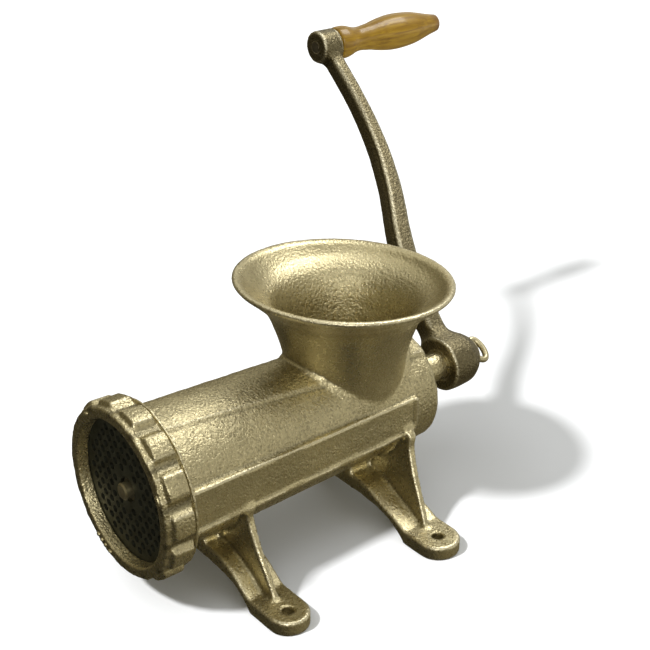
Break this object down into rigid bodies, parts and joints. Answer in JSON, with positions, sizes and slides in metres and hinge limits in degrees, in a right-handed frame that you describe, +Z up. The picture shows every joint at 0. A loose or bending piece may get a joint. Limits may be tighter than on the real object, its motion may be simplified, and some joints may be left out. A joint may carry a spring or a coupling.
{
  "type": "hand crank meat grinder",
  "caption": "Bolt-down hand crank meat grinder with a round hopper, tapered barrel, hole plate held by a lugged ring nut, and a curved crank with a turned wooden grip.",
  "frame": {"origin": "centre of the rectangle of foot bolts, on the plane of the soles", "axes": "+Z up, +Y along the shaft from the hole plate towards the crank, +X to the right when looking along +Y"},
  "size_m": [0.302, 0.4232, 0.2688],
  "materials": {
    "cast_body": "rough sand casting with a dull tin coat",
    "cast_nut": "rough sand casting with a dull tin coat",
    "cast_worm": "sand casting with a tin coat, shank machined",
    "cast_crank": "casting with a worn tin coat",
    "plate_steel": "ground, dulled with use",
    "knife_steel": "ground cutting faces",
    "steel_pin": "turned",
    "bright_steel": "plated, slightly dull",
    "dark_steel": "dark, oiled",
    "bronze_bush": "turned",
    "fibre": "pressed fibre",
    "grip_wood": "turned and varnished"
  },
  "bodies": {
    "frame": {"body_casting": "cast_body", "plate_key": "steel_pin", "rear_bush": "bronze_bush"},
    "plate": {"hole_plate": "plate_steel"},
    "nut": {"ring_nut": "cast_nut"},
    "crank": {"feed_worm": "cast_worm", "worm_stud": "steel_pin", "cross_knife": "knife_steel", "thrust_washer": "fibre", "crank_arm": "cast_crank", "grip_spindle": "dark_steel", "grip_washer": "dark_steel"},
    "grip": {"wooden_grip": "grip_wood"},
    "washer": {"clamp_washer": "steel_pin"},
    "screw": {"thumb_screw": "bright_steel"}
  },
  "joints": [
    {"name": "crank_turn", "type": "hinge", "parent": "frame", "child": "crank", "pos_m": [0, 0.1275, 0.074], "axis": [0, -1, 0], "continuous": true},
    {"name": "grip_spin", "type": "hinge", "parent": "crank", "child": "grip", "pos_m": [-0.1886, 0.2375, 0.25486], "axis": [0, -1, 0], "continuous": true},
    {"name": "plate_draw", "type": "slide", "parent": "frame", "child": "plate", "axis": [0, -1, 0], "range_m": [0, 0.01201]},
    {"name": "ring_nut_turn", "type": "hinge", "parent": "plate", "child": "nut", "pos_m": [0, -0.1125, 0.074], "axis": [0, -1, 0], "range_deg": [0, 1080]},
    {"name": "washer_draw", "type": "slide", "parent": "crank", "child": "washer", "axis": [0, 1, 0], "range_m": [0, 0.0175]},
    {"name": "thumb_screw_turn", "type": "hinge", "parent": "washer", "child": "screw", "pos_m": [0, 0.1675, 0.074], "axis": [0, 1, 0], "range_deg": [0, 3600]}
  ],
  "couplings": [
    {"joint": "plate_draw", "follows": "ring_nut_turn", "m_per_rad": 0.00063662},
    {"joint": "washer_draw", "follows": "thumb_screw_turn", "m_per_rad": 0.00023873}
  ]
}
